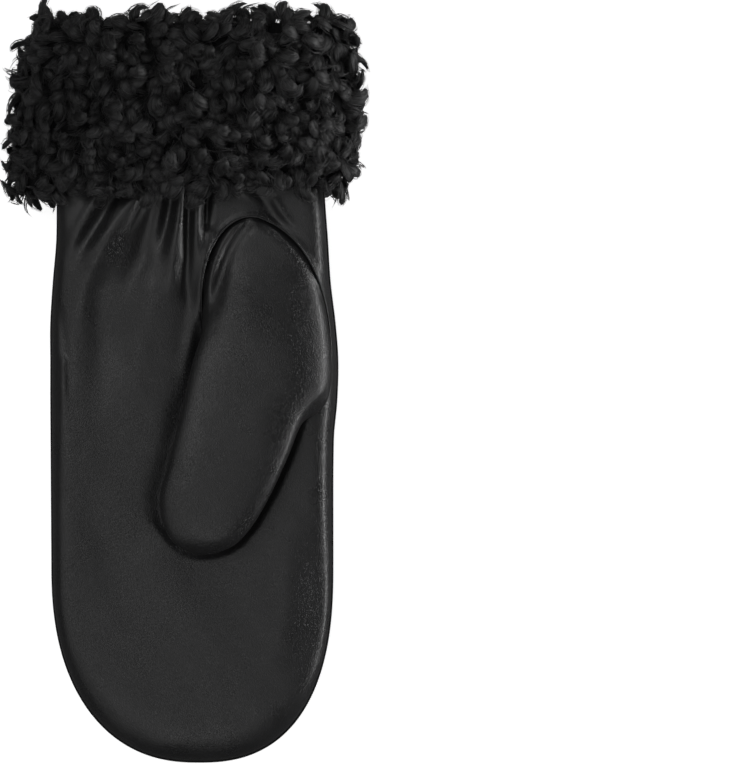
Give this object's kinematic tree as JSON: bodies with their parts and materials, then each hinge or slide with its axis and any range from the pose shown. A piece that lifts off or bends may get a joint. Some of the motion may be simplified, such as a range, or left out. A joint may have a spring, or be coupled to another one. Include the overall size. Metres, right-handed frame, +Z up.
{
  "type": "mitten",
  "caption": "Left-hand dress mitten in black leather with a turned-up curly shearling cuff, gathered wrist and set-in thumb, lying palm up.",
  "frame": {"origin": "middle of the mitten's box, on the surface that it lies on", "axes": "+Y from the fingertips to the cuff, +X to the thumb's side, +Z up out of the palm"},
  "size_m": [0.138, 0.2888, 0.047],
  "materials": {
    "leather": "satin",
    "shearling": "matte curls"
  },
  "bodies": {
    "root": {"palm_panel": "leather", "back_panel": "leather", "thumb": "leather", "cuff": "shearling"}
  },
  "joints": []
}
